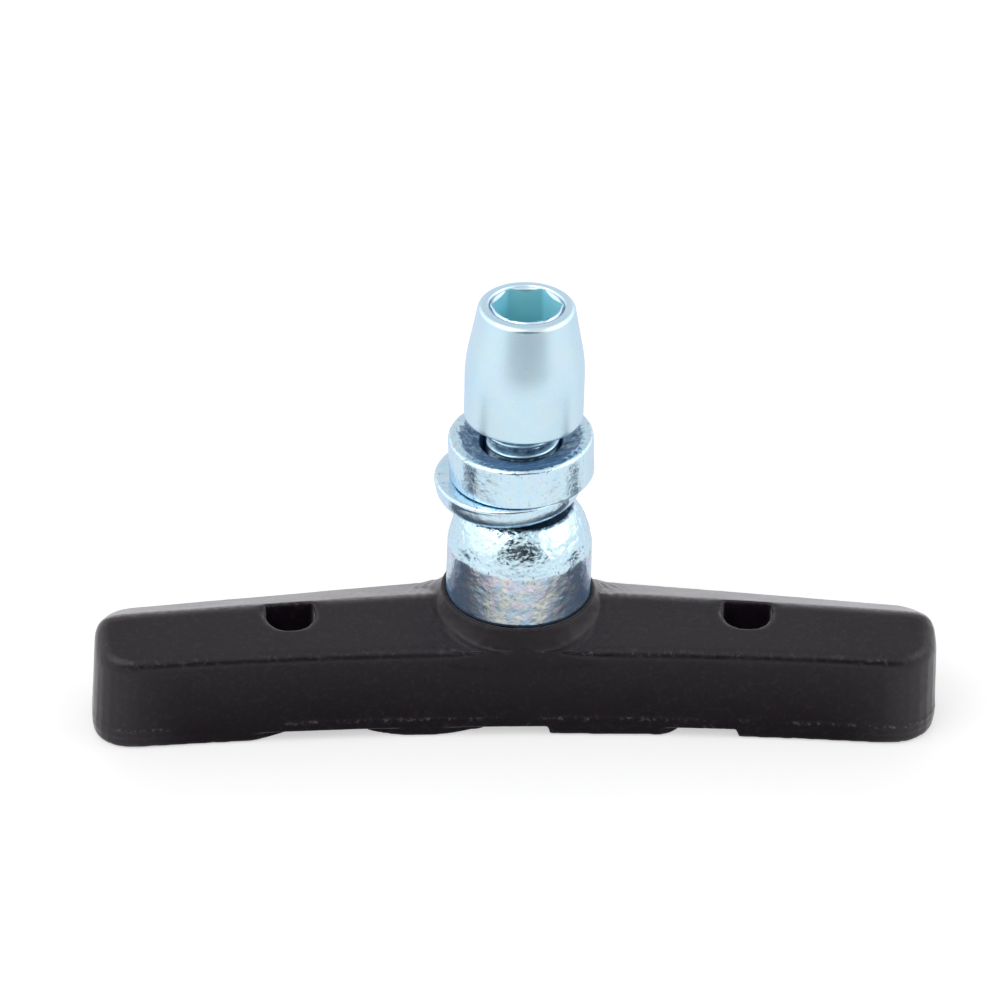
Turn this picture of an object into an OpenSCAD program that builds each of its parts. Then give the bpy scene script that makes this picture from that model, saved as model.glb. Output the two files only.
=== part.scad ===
// Threaded brake pad for a rim brake, standing on its friction face.
// Origin: on the stud's axis, in the plane of the friction face. +X runs along the pad,
// +Y points to the outer side of the rim and +Z runs up the stud. Millimetres.

/* [Rubber block] */
// Length of the rubber block at its foot
pad_len = 70.1; // [60:0.1:80]
// How far the stud stands from the middle of the block, towards +X
stud_shift = 0.2; // [0:0.1:1]
// Distance from the stud's axis to the inner side wall, at mid-length
inner_reach = 6.9; // [6.6:0.1:8]
// Distance from the stud's axis to the outer side wall, at mid-length
outer_reach = 6.7; // [6.6:0.1:8]
// Radius of the rim that the inner side wall follows
rim_radius = 300; // [250:10:400]
// Angle between each half of the outer side wall and the X axis
outer_taper = 8.7; // [6:0.1:10]
// Height of the inner side wall above the tread
inner_wall_h = 7.5; // [7:0.1:8]
// Height of the outer side wall above the tread
outer_wall_h = 6.3; // [6:0.1:7.4]
// Height of the ridge above the tread
ridge_h = 8.8; // [8.5:0.1:9]
// Where the ridge runs, as a share of the width from the inner side wall
ridge_share = 0.54; // [0.48:0.01:0.58]
// Radius of the two upright corners on the outer side
outer_corner_r = 2.9; // [2:0.1:3.5]
// Radius of the upright corner on the inner side, at the -X end
left_corner_r = 3.8; // [2:0.1:5]
// Radius of the upright corner on the inner side, at the +X end
right_corner_r = 4.6; // [2:0.1:5]
// Rounding of the upper edges of the two ends
end_round = 1.3; // [0.6:0.1:1.8]
// Lean of the side walls from their foot to their top
wall_draft = 0.18; // [0:0.02:0.4]
// Lean of each end wall from its foot to its top
end_draft = 0.4; // [0:0.05:0.8]
// Distance from the stud's axis to each locating-pin hole
pin_hole_x = 19; // [16:0.5:22]
// Diameter of the locating-pin holes
pin_hole_d = 4.1; // [3:0.1:4.6]
// Distance from the axis of a locating-pin hole to its flat, which lies at the ridge
pin_hole_flat = 0.85; // [0.4:0.05:1.4]

/* [Tread] */
// Height of the tread lugs
lug_h = 0.85; // [0.5:0.05:1.5]
// Distance from the stud's axis to the middle of the outer grooves, along the inner wall
groove_pitch = 16.2; // [14:0.2:18]
// Width of a groove, along X
groove_w = 5.2; // [3:0.2:6]
// Angle of the grooves from the Y axis
groove_lean = 33; // [28:1:38]

/* [Collar] */
// Height of the collar's rim above the tread
collar_h = 9.45; // [9.3:0.05:9.7]
// Outer radius of the rim that holds the spacer
rim_r = 6.35; // [6.3:0.05:6.5]
// Radius of the hollow sweep from the rim down to the block
sweep_r = 2.85; // [2.7:0.05:3]
// Depth of the recess that the spacer stands in
recess_depth = 0.2; // [0.1:0.05:0.4]

/* [Insert] */
// Thickness of the backing plate
plate_t = 1.5; // [1:0.1:2]
// Height of the backing plate's underside above the tread
plate_lift = 3.6; // [3:0.1:3.8]
// Rubber around the edge of the backing plate
plate_margin = 2.2; // [1.8:0.1:2.6]
// Thread diameter of the stud
stud_d = 6; // [5:0.1:6]
// Length of the stud above the spacer's foot
stud_reach = 21.3; // [19:0.1:22]
// Diameter of the stud's head
stud_head_d = 9.5; // [8:0.1:10]
// Thickness of the stud's head
stud_head_t = 1.6; // [1:0.1:2]

/* [Spacer and washers] */
// Diameter of the domed spacer
spacer_d = 12; // [12:0.1:12.4]
// Height of the spacer's straight wall
spacer_wall_h = 5.1; // [4.6:0.05:5.6]
// Radius of the spacer's dome
dome_r = 5.95; // [5.8:0.05:5.95]
// How far the dome's centre lies below the top of the wall
dome_sink = 0.6; // [0.3:0.05:1]
// Bore of the spacer
spacer_bore_d = 6.4; // [6.2:0.1:6.8]
// Diameter of the cup washer
cup_d = 12.1; // [11.9:0.1:13]
// Thickness of the cup washer at its rim
cup_t = 2.2; // [2:0.1:2.4]
// Bore of the cup washer
cup_bore_d = 8.2; // [7.9:0.1:8.4]
// Tilt of the cup washer on the dome
cup_tilt = 4.4; // [0:0.2:6]
// Diameter of the seat ring
ring_d = 11.9; // [11:0.1:12.6]
// Height of the seat ring
ring_h = 3.6; // [3:0.1:4]
// Bore of the seat ring
ring_bore_d = 6.7; // [6.6:0.1:7.2]
// Depth of the seat ring's dish at the bore
dish_depth = 0.65; // [0.4:0.05:1.2]
// Tilt of the seat ring
ring_tilt = 2.8; // [0:0.2:4]

/* [Barrel nut] */
// Largest diameter of the nut
nut_d = 9.7; // [9:0.1:10.5]
// Height of the nut
nut_h = 10.3; // [9:0.1:12]
// Diameter of the nut's top
nut_top_d = 7.75; // [7.5:0.05:8.6]
// Height at which the nut's cylinder turns into its cone
nut_straight_h = 5.1; // [4:0.1:7]
// Distance across the flats of the hex socket
hex_af = 5; // [4:0.5:5]
// Depth of the hex socket
hex_depth = 5.4; // [4:0.1:6]
// Height of the nut's foot above the spacer's foot
nut_lift = 17; // [16.5:0.1:19]

/* [Hidden] */
$fn = 96;

// Clearances
mould_gap = 0.02;      // rubber to the steel moulded into it
thread_gap = 0.05;     // nut's thread to the stud's thread, radially
seat_gap = 0.02;       // between hardware faces that rest on each other
recess_gap = 0.1;      // spacer to the rim, radially

// How far a cut runs past the face that it opens
past = 1;

// Small roundings
foot_round = 0.25;     // lower edges of the block
apex_round = 1.5;      // middle of the outer side wall, where its two halves meet
inner_top_round = 0.6; // upper edge of the inner wall
outer_top_round = 0.8; // upper edge of the outer wall
ridge_round = 1.2;     // top of the ridge
metal_round = 0.35;    // edges of spacer and ring
cup_foot_round = 1.6;  // lower edge of the cup washer
nut_foot_round = 0.3;
nut_shoulder_r = 7;    // between the nut's cylinder and its cone
nut_top_round = 0.5;
arc_steps = 4;

// Lugs: how far they reach into the block, how far they stand back from the walls, and the
// radii of each lug's left and right corners at the inner wall
lug_root = 0.5;
lug_inset = 0.06;
lug_edge_r = [[0.5, 10.5], [0.5, 0.5], [0.2, 2.6], [0.15, 0.5]];
lug_back_r = 0.5;
bowed_lug = 1;
bow_r = 11.5;
groove_shift = [0, 0.35, 0.9]; // how far each groove lies to the left of an even pitch

// Collar: foot inside the block, distance inside the walls, and where its sweep is centred
collar_root_r = 5.2;
collar_inset = 0.12;
sweep_rise = 0.85;     // sweep's centre above the rim
sweep_steps = 8;
sweep_x = rim_r + sqrt(sweep_r * sweep_r - sweep_rise * sweep_rise);

stud_chamfer = 0.6;
cup_hollow_d = 8.8;    // hollow under the cup washer, at its rim
cup_hollow_h = 0.25;   // depth of that hollow, were there no bore
dish_d = 10.4;         // dish of the seat ring, at its rim
mouth_h = 0.22;        // chamfer at the mouth of the hex socket

// Levels above the friction face
tread_z = lug_h;
plate_z = tread_z + plate_lift;
collar_z = tread_z + collar_h;
spacer_z = collar_z - recess_depth;
dome_z = spacer_z + spacer_wall_h - dome_sink;
nut_z = spacer_z + nut_lift;
stud_top_z = spacer_z + stud_reach;

// The cup washer has slipped along X until its bore meets the stud, and it rests on the dome
// at the high side of its bore
cup_slip = cup_bore_d / 2 * cos(cup_tilt) - cup_t * sin(cup_tilt) - stud_d / 2 - seat_gap;
cup_hollow_r = (pow(cup_hollow_d / 2, 2) + pow(cup_hollow_h, 2)) / (2 * cup_hollow_h);
cup_bore_lift = cup_hollow_h - cup_hollow_r + sqrt(pow(cup_hollow_r, 2) - pow(cup_bore_d / 2, 2));
cup_rest_x = max(cup_bore_d / 2 * cos(cup_tilt) - cup_slip, spacer_bore_d / 2);
cup_z = dome_z + sqrt(dome_r * dome_r - cup_rest_x * cup_rest_x) + seat_gap
    - (cup_rest_x + cup_slip) * tan(cup_tilt) - cup_bore_lift;

// The seat ring rests on the high side of the cup washer's rim
ring_rest_x = min(cup_d / 2 * cos(cup_tilt) - cup_t * sin(cup_tilt) - cup_slip, ring_d / 2);
ring_z = cup_z + cup_t / cos(cup_tilt) + (ring_rest_x + cup_slip) * tan(cup_tilt)
    - ring_rest_x * tan(ring_tilt) + seat_gap - metal_round * tan(cup_tilt);

// Side walls and ridge in plan, at a distance x from the stud's axis
function inner_y(x) = -inner_reach - (rim_radius - sqrt(rim_radius * rim_radius - x * x));
function outer_y(x) = outer_reach - (sqrt(x * x + apex_round * apex_round) - apex_round) * tan(outer_taper);
function ridge_y(x) = inner_y(x) + ridge_share * (outer_y(x) - inner_y(x));

// How much a rounding of radius r takes away at a distance t inside the edge
function rounding(r, t) = t >= r ? 0 : r - sqrt(max(0, r * r - (r - t) * (r - t)));

// Ends of the block, and how far a point lies inside the nearer one
left_x = -pad_len / 2 - stud_shift;
right_x = pad_len / 2 - stud_shift;
function inside_end(x) = min(x - left_x, right_x - x);
function inner_corner_r(x) = x < 0 ? left_corner_r : right_corner_r;

// Stations along the block, closer together in the rounded ends and at the stud
end_steps = 7;
mid_steps = 8;
mid_crowding = 1.6;
left_round = max(left_corner_r, outer_corner_r);
right_round = max(right_corner_r, outer_corner_r);
function end_depth(r, i) = r * (1 - sin(90 * (1 - i / end_steps)));
function mid_share(i) = pow(i / mid_steps, mid_crowding);
stations = concat(
    [for (i = [0:end_steps - 1]) left_x + end_depth(left_round, i)],
    [for (i = [mid_steps:-1:0]) (left_x + left_round) * mid_share(i)],
    [for (i = [1:mid_steps]) (right_x - right_round) * mid_share(i)],
    [for (i = [end_steps - 1:-1:0]) right_x - end_depth(right_round, i)]);

// Arc that rounds the corner p between a and b with radius r
function corner_arc(a, p, b, r) =
    let (u = (a - p) / norm(a - p),
         v = (b - p) / norm(b - p),
         half = acos(u * v) / 2,
         centre = p + (u + v) / norm(u + v) * r / sin(half),
         from = p + u * r / tan(half) - centre,
         to = p + v * r / tan(half) - centre,
         start = atan2(from[1], from[0]),
         raw = atan2(to[1], to[0]) - start,
         turn = raw > 180 ? raw - 360 : (raw < -180 ? raw + 360 : raw))
    [for (i = [0:arc_steps])
        centre + r * [cos(start + turn * i / arc_steps), sin(start + turn * i / arc_steps)]];

// Closed outline with each corner rounded by its own radius
function rounded(points, radii) =
    let (n = len(points))
    [for (i = [0:n - 1])
        each corner_arc(points[(i + n - 1) % n], points[i], points[(i + 1) % n], radii[i])];

// Cross-section of the block at x, as points in Y and Z
function block_section(x) =
    let (drop = rounding(end_round, inside_end(x)),
         yi = inner_y(x) + rounding(inner_corner_r(x), inside_end(x)),
         yo = outer_y(x) - rounding(outer_corner_r, inside_end(x)))
    rounded(
        [[yi, 0], [yo, 0], [yo - wall_draft, outer_wall_h - drop],
         [ridge_y(x), ridge_h - drop], [yi + wall_draft, inner_wall_h - drop]],
        [foot_round, foot_round, outer_top_round, ridge_round, inner_top_round]);

// Plan outline of the block, moved inwards by margin
function corner_cut(r, margin, x) = rounding(max(r - margin, 0), inside_end(x) - margin);
function plan(margin) =
    let (inside = [for (x = stations) if (inside_end(x) > margin) x],
         xs = concat([left_x + margin], inside, [right_x - margin]))
    concat(
        [for (x = xs) [x, inner_y(x) + margin + corner_cut(inner_corner_r(x), margin, x)]],
        [for (i = [len(xs) - 1:-1:0])
            [xs[i], outer_y(xs[i]) - margin - corner_cut(outer_corner_r, margin, xs[i])]]);

// Solid skinned over the block's cross-sections, drawn together towards its top along X
module block_body() {
    sections = [for (x = stations) block_section(x)];
    n = len(sections[0]);
    last = len(stations) - 1;
    function narrowing(z) = 1 - end_draft / (pad_len / 2) * z / ridge_h;
    points = [for (i = [0:last]) for (p = sections[i])
        [stations[i] * narrowing(p[1]), p[0], p[1] + tread_z]];
    polyhedron(
        points = points,
        faces = concat(
            [[for (j = [0:n - 1]) j]],
            [[for (j = [n - 1:-1:0]) last * n + j]],
            [for (i = [0:last - 1]) for (j = [0:n - 1])
                [i * n + j, (i + 1) * n + j, (i + 1) * n + (j + 1) % n]],
            [for (i = [0:last - 1]) for (j = [0:n - 1])
                [i * n + j, (i + 1) * n + (j + 1) % n, i * n + (j + 1) % n]]));
}

// Tread lugs, between grooves that lean across the friction face
groove_run = (inner_reach + outer_reach) * tan(groove_lean);
past_end = groove_run + groove_w;
groove_mid = [for (i = [0:2]) (i - 1) * groove_pitch - groove_shift[i]];
lug_left = [left_x - past_end, for (g = groove_mid) g + groove_w / 2];
lug_right = [for (g = groove_mid) g - groove_w / 2, right_x + past_end];

module lug(i) {
    x0 = lug_left[i];
    x1 = lug_right[i];
    intersection() {
        linear_extrude(lug_h + lug_root)
            polygon(rounded(
                [[x0, inner_y(x0)], [x1, inner_y(x1)], [x1 + groove_run, outer_reach],
                 [x0 + groove_run, outer_reach]],
                [lug_edge_r[i][0], lug_edge_r[i][1], lug_back_r, lug_back_r]));
        linear_extrude(lug_h + lug_root)
            polygon(plan(lug_inset));
        if (i == bowed_lug)
            translate([(x0 + x1) / 2, inner_y((x0 + x1) / 2) + bow_r, 0])
                cylinder(h = lug_h + lug_root, r = bow_r);
    }
}

// Collar that sweeps up to the spacer, cut flush with the side walls
module collar() {
    rim_turn = asin(sweep_rise / sweep_r);
    intersection() {
        rotate_extrude()
            polygon(concat(
                [[0, plate_z + plate_t], [collar_root_r, plate_z + plate_t], [sweep_x, tread_z + outer_wall_h]],
                [for (i = [0:sweep_steps])
                    let (turn = 270 - (90 - rim_turn) * i / sweep_steps)
                    [sweep_x, collar_z + sweep_rise] + sweep_r * [cos(turn), sin(turn)]],
                [[0, collar_z]]));
        translate([0, 0, tread_z])
            linear_extrude(collar_h + past)
                polygon(plan(collar_inset));
    }
}

module rubber_block() {
    color([0.13, 0.125, 0.14])
        difference() {
            union() {
                block_body();
                collar();
                for (i = [0:len(lug_left) - 1])
                    lug(i);
            }
            insert_space();
            translate([0, 0, spacer_z])
                cylinder(h = collar_h, d = spacer_d + 2 * recess_gap);
            for (side = [-1, 1])
                pin_hole(side * pin_hole_x);
        }
}

// Locating-pin hole in front of the ridge, with a flat along the ridge, down into the plate's level
module pin_hole(x) {
    ridge_turn = atan((ridge_y(x + pin_hole_d / 2) - ridge_y(x - pin_hole_d / 2)) / pin_hole_d);
    translate([x, ridge_y(x), plate_z + plate_t / 2])
        rotate([0, 0, ridge_turn])
            linear_extrude(ridge_h)
                translate([0, -pin_hole_flat])
                    intersection() {
                        circle(d = pin_hole_d);
                        translate([-pin_hole_d, pin_hole_flat - 2 * pin_hole_d])
                            square(2 * pin_hole_d);
                    }
}

// Space that the moulded-in steel takes up in the rubber
module insert_space() {
    translate([0, 0, plate_z - mould_gap])
        linear_extrude(plate_t + 2 * mould_gap)
            polygon(plan(plate_margin - mould_gap));
    translate([0, 0, plate_z - stud_head_t - mould_gap])
        cylinder(h = stud_head_t + mould_gap, d = stud_head_d + 2 * mould_gap);
    translate([0, 0, plate_z])
        cylinder(h = collar_h, d = stud_d + 2 * mould_gap);
}

module backing_plate() {
    color([0.62, 0.64, 0.66])
        difference() {
            translate([0, 0, plate_z])
                linear_extrude(plate_t)
                    polygon(plan(plate_margin));
            translate([0, 0, plate_z - past])
                cylinder(h = plate_t + 2 * past, d = stud_d + 2 * mould_gap);
        }
}

module threaded_stud() {
    color([0.72, 0.77, 0.8]) {
        translate([0, 0, plate_z - stud_head_t])
            cylinder(h = stud_head_t, d = stud_head_d);
        rotate_extrude()
            polygon([
                [0, plate_z - stud_head_t], [stud_d / 2, plate_z - stud_head_t],
                [stud_d / 2, stud_top_z - stud_chamfer], [stud_d / 2 - stud_chamfer, stud_top_z],
                [0, stud_top_z]]);
    }
}

// Disc or ring with rounded outer edges, about Z
module washer(h, d, bore, foot_r, top_r) {
    rotate_extrude()
        polygon(concat(
            [[bore / 2, 0]],
            corner_arc([0, 0], [d / 2, 0], [d / 2, h], foot_r),
            corner_arc([d / 2, 0], [d / 2, h], [0, h], top_r),
            [[bore / 2, h]]));
}

module domed_spacer() {
    color([0.74, 0.82, 0.87])
        translate([0, 0, spacer_z])
            difference() {
                union() {
                    washer(spacer_wall_h, spacer_d, 0, metal_round, metal_round / 2);
                    translate([0, 0, spacer_wall_h - dome_sink])
                        intersection() {
                            sphere(r = dome_r);
                            cylinder(h = dome_r, r = dome_r);
                        }
                }
                translate([0, 0, -past])
                    cylinder(h = spacer_wall_h + dome_r + 2 * past, d = spacer_bore_d);
            }
}

module cup_washer() {
    color([0.72, 0.8, 0.85])
        translate([-cup_slip, 0, cup_z])
            rotate([0, -cup_tilt, 0])
                difference() {
                    washer(cup_t, cup_d, cup_bore_d, cup_foot_round, metal_round);
                    translate([0, 0, cup_hollow_h - cup_hollow_r])
                        sphere(r = cup_hollow_r);
                }
}

module seat_ring() {
    dish_r = (pow(dish_d / 2, 2) - pow(ring_bore_d / 2, 2)) / (2 * dish_depth) + dish_depth / 2;
    color([0.74, 0.82, 0.87])
        translate([0, 0, ring_z])
            rotate([0, -ring_tilt, 0])
                difference() {
                    washer(ring_h, ring_d, ring_bore_d, metal_round, metal_round);
                    translate([0, 0, ring_h + sqrt(dish_r * dish_r - dish_d * dish_d / 4)])
                        sphere(r = dish_r);
                }
}

module barrel_nut() {
    foot_r = nut_d / 2;
    top_r = nut_top_d / 2;
    color([0.78, 0.87, 0.92])
        translate([0, 0, nut_z])
            difference() {
                rotate_extrude()
                    polygon(concat(
                        [[0, 0]],
                        corner_arc([0, 0], [foot_r, 0], [foot_r, nut_straight_h], nut_foot_round),
                        corner_arc([foot_r, 0], [foot_r, nut_straight_h], [top_r, nut_h], nut_shoulder_r),
                        corner_arc([foot_r, nut_straight_h], [top_r, nut_h], [0, nut_h], nut_top_round),
                        [[0, nut_h]]));
                translate([0, 0, -past])
                    cylinder(h = nut_h, d = stud_d + 2 * thread_gap);
                translate([0, 0, nut_h - hex_depth])
                    cylinder(h = hex_depth + past, d = hex_af / cos(30), $fn = 6);
                translate([0, 0, nut_h - mouth_h])
                    cylinder(h = mouth_h + past, r1 = hex_af / 2, r2 = hex_af / 2 + mouth_h + past);
            }
}

rubber_block();
backing_plate();
threaded_stud();
domed_spacer();
cup_washer();
seat_ring();
barrel_nut();
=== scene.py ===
"""Looks of a threaded rim-brake pad: moulded rubber block, threaded stud, forged washers and barrel nut.

Meshes are made in millimetres, in the frame of the CAD model, and scaled to metres as objects are added.
"""

import math

import bpy
import numpy as np
from mathutils import Matrix, Vector


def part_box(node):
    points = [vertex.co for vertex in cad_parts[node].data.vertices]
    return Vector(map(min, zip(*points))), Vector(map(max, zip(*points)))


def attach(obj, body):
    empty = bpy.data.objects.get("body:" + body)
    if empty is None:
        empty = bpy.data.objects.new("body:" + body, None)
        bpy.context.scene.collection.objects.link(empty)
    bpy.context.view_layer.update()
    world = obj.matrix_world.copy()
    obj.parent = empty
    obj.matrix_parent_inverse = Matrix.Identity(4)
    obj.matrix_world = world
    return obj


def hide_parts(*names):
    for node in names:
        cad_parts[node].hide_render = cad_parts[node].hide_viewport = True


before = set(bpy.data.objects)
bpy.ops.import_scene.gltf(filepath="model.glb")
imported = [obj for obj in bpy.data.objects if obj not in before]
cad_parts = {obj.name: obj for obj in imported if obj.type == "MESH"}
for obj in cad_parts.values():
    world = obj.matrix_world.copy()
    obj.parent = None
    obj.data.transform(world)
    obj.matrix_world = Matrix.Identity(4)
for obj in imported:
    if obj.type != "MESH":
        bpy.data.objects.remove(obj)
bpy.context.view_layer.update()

MM = 0.001
TAU = 2 * math.pi


def box_mm(node):
    """Lowest and highest corner of a CAD node, in millimetres."""
    low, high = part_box(node)
    return np.array(low) / MM, np.array(high) / MM


# ---------------------------------------------------------------- noise

def lattice_noise(points, seed):
    """Gradient noise at many points at once, from about -1 to 1."""
    rng = np.random.RandomState(seed)
    table = rng.permutation(256)
    table = np.concatenate([table, table])
    gradients = rng.normal(size=(256, 3))
    gradients /= np.linalg.norm(gradients, axis=1)[:, None]
    cell = np.floor(points).astype(int)
    inside = points - cell
    cell &= 255
    fade = inside ** 3 * (inside * (inside * 6 - 15) + 10)
    total = np.zeros(len(points))
    for dx in (0, 1):
        for dy in (0, 1):
            for dz in (0, 1):
                corner = table[table[table[(cell[:, 0] + dx) & 255] + ((cell[:, 1] + dy) & 255)]
                               + ((cell[:, 2] + dz) & 255)]
                offset = inside - np.array([dx, dy, dz])
                weight = (np.where(dx, fade[:, 0], 1 - fade[:, 0])
                          * np.where(dy, fade[:, 1], 1 - fade[:, 1])
                          * np.where(dz, fade[:, 2], 1 - fade[:, 2]))
                total += weight * np.einsum("ij,ij->i", gradients[corner], offset)
    return total * 1.6


def rough_noise(points, size, seed, octaves=3):
    """Sum of noises whose largest bumps are about size millimetres across."""
    total = np.zeros(len(points))
    for octave in range(octaves):
        total += lattice_noise(points * 2 ** octave / size + 17.3 * octave, seed + octave) / 2 ** octave
    return total


def smoothstep(low, high, value):
    t = np.clip((value - low) / (high - low), 0, 1)
    return t * t * (3 - 2 * t)


# ---------------------------------------------------------------- meshes

def add_piece(name, points, faces, material, node):
    """Mesh object from points in millimetres, which stands for a CAD node."""
    mesh = bpy.data.meshes.new(name)
    mesh.from_pydata((np.asarray(points) * MM).tolist(), [], [list(map(int, f)) for f in faces])
    mesh.polygons.foreach_set("use_smooth", [True] * len(mesh.polygons))
    mesh.update()
    piece = bpy.data.objects.new(name, mesh)
    bpy.context.scene.collection.objects.link(piece)
    mesh.materials.append(material)
    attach(piece, "root")
    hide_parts(node)
    return piece


def add_layer(mesh, name, values):
    """Number at each point of a mesh, for the material to read."""
    layer = mesh.attributes.new(name, "FLOAT", "POINT")
    layer.data.foreach_set("value", np.clip(values, 0, 1))


def arc(centre, radius, start, end, steps):
    """Points in r and z along an arc, angles in degrees."""
    angles = np.radians(np.linspace(start, end, steps + 1))
    return [(centre[0] + radius * math.cos(a), centre[1] + radius * math.sin(a)) for a in angles]


def dense(profile, spacing):
    """Closed profile with no step longer than spacing(r, z)."""
    out = []
    for (r0, z0), (r1, z1) in zip(profile, profile[1:] + profile[:1]):
        step = spacing((r0 + r1) / 2, (z0 + z1) / 2)
        count = max(1, math.ceil(math.hypot(r1 - r0, z1 - z0) / step))
        out += [(r0 + (r1 - r0) * i / count, z0 + (z1 - z0) * i / count) for i in range(count)]
    return np.array(out)


def ring_grid(rings):
    """Faces of rings of equal length joined in order, and the last to the first."""
    count, around = rings
    a = np.arange(count)[:, None] * around + np.arange(around)[None, :]
    right = np.roll(a, -1, axis=1)
    below = np.roll(a, -1, axis=0)
    corner = np.roll(right, -1, axis=0)
    return np.stack([a, right, corner, below], axis=-1).reshape(-1, 4)


def normals_of_grid(grid):
    """Unit normals of a closed grid of points."""
    along = np.roll(grid, -1, axis=1) - np.roll(grid, 1, axis=1)
    across = np.roll(grid, -1, axis=0) - np.roll(grid, 1, axis=0)
    normal = np.cross(along, across)
    return normal / np.maximum(np.linalg.norm(normal, axis=2, keepdims=True), 1e-9)


def revolved(profile, segments, relief):
    """Points and faces of a closed profile turned about Z, raised by relief(points) along the normals."""
    angles = np.arange(segments) * TAU / segments
    grid = np.stack([
        profile[:, 0][:, None] * np.cos(angles)[None, :],
        profile[:, 0][:, None] * np.sin(angles)[None, :],
        np.repeat(profile[:, 1][:, None], segments, axis=1)], axis=-1)
    flat = grid.reshape(-1, 3)
    raised = flat + normals_of_grid(grid).reshape(-1, 3) * relief(flat)[:, None]
    return raised, ring_grid(grid.shape[:2])


def tilted(points, degrees):
    """Points turned about Y, so that the side at -X goes down."""
    c, s = math.cos(math.radians(degrees)), math.sin(math.radians(degrees))
    return np.stack([points[:, 0] * c - points[:, 2] * s, points[:, 1],
                     points[:, 0] * s + points[:, 2] * c], axis=1)


def centre_of(low, high):
    return (np.asarray(low) + np.asarray(high)) / 2


def box_centre(node):
    return centre_of(*box_mm(node))


# ---------------------------------------------------------------- materials

class Shader:
    """Short way to write a node material."""

    def __init__(self, name):
        self.material = bpy.data.materials.new(name)
        self.material.use_nodes = True
        self.tree = self.material.node_tree
        self.tree.nodes.clear()
        self.output = self.tree.nodes.new("ShaderNodeOutputMaterial")
        self.place = self.add("ShaderNodeTexCoord").outputs["Object"]

    def add(self, kind, inputs=None, **settings):
        node = self.tree.nodes.new(kind)
        for key, value in settings.items():
            setattr(node, key, value)
        for key, value in (inputs or {}).items():
            socket = node.inputs[key]
            if isinstance(value, bpy.types.NodeSocket):
                self.tree.links.new(value, socket)
            else:
                socket.default_value = value
        return node

    def noise(self, size_mm, detail=3.0, rough=0.55, distortion=0.0, place=None):
        """Noise whose largest features are about size_mm across."""
        node = self.add("ShaderNodeTexNoise", {
            "Vector": place or self.place, "Scale": 1 / (size_mm * MM), "Detail": detail,
            "Roughness": rough, "Distortion": distortion})
        return node.outputs["Fac"]

    def remap(self, value, low, high, to_low=0.0, to_high=1.0):
        node = self.add("ShaderNodeMapRange", {
            "Value": value, "From Min": low, "From Max": high, "To Min": to_low, "To Max": to_high},
            interpolation_type="SMOOTHSTEP")
        return node.outputs["Result"]

    def math(self, operation, a, b=0.0):
        return self.add("ShaderNodeMath", {0: a, 1: b}, operation=operation).outputs[0]

    def mix(self, share, a, b):
        """Colour between a and b."""
        node = self.add("ShaderNodeMix", data_type="RGBA")
        for socket, value in ((node.inputs[0], share), (node.inputs[6], a), (node.inputs[7], b)):
            if isinstance(value, bpy.types.NodeSocket):
                self.tree.links.new(value, socket)
            else:
                socket.default_value = value
        return node.outputs[2]

    def attribute(self, name):
        return self.add("ShaderNodeAttribute", attribute_name=name).outputs["Fac"]

    def bump(self, height, depth_mm, strength=1.0, normal=None):
        inputs = {"Height": height, "Distance": depth_mm * MM, "Strength": strength}
        if normal is not None:
            inputs["Normal"] = normal
        return self.add("ShaderNodeBump", inputs).outputs["Normal"]

    def surface(self, **inputs):
        node = self.add("ShaderNodeBsdfPrincipled", {k.replace("_", " "): v for k, v in inputs.items()})
        self.tree.links.new(node.outputs[0], self.output.inputs["Surface"])
        return self.material


def grey(value, alpha=1.0):
    return (value, value, value, alpha)


def rubber_material():
    s = Shader("moulded_rubber")
    wear = s.attribute("wear")
    cloud = s.noise(5.0, 4)
    grain = s.noise(0.22, 3, 0.6)
    specks = s.remap(s.noise(0.45, 4, 0.75), 0.50, 0.66)
    dust = s.math("MULTIPLY", specks, s.math("ADD", s.math("MULTIPLY", wear, 1.0), 0.05))
    base = s.mix(cloud, (0.0052, 0.0014, 0.0052, 1), (0.0080, 0.0036, 0.0088, 1))
    # Painted reflection: the back slope is made light grey, standing for the bright floor behind that it mirrors at
    # a grazing angle.
    painted_sheen = s.math("MULTIPLY", s.attribute("painted_sheen"), s.remap(s.noise(0.42, 5, 0.75), 0.36, 0.66, 0.35, 1.0))
    base = s.mix(painted_sheen, base, (0.20, 0.19, 0.20, 1))
    rubber_colour = s.mix(dust, base, (0.16, 0.165, 0.17, 1))
    # Painted shade: the rubber around the spacer's foot is made darker.
    shade = s.attribute("shade")
    rubber_colour = s.mix(shade, rubber_colour, (0.0034, 0.0012, 0.0032, 1))
    mottle = s.remap(s.noise(1.4, 3, 0.6), 0.35, 0.65, 0.0, 0.05)
    roughness = s.remap(s.math("ADD", cloud, s.math("MULTIPLY", grain, 0.3)), 0.4, 0.95, 0.29, 0.37)
    roughness = s.math("ADD", s.math("ADD", roughness, mottle), s.math("MULTIPLY", shade, 0.25))
    fine = s.bump(grain, 0.008, 0.8)
    normal = s.bump(s.noise(1.1, 3), 0.022, 0.7, fine)
    return s.surface(Base_Color=rubber_colour, Roughness=roughness, Normal=normal, Specular_IOR_Level=0.36,
                     Sheen_Weight=0.78, Sheen_Roughness=0.30, Sheen_Tint=(0.95, 0.93, 1.0, 1))


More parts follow.
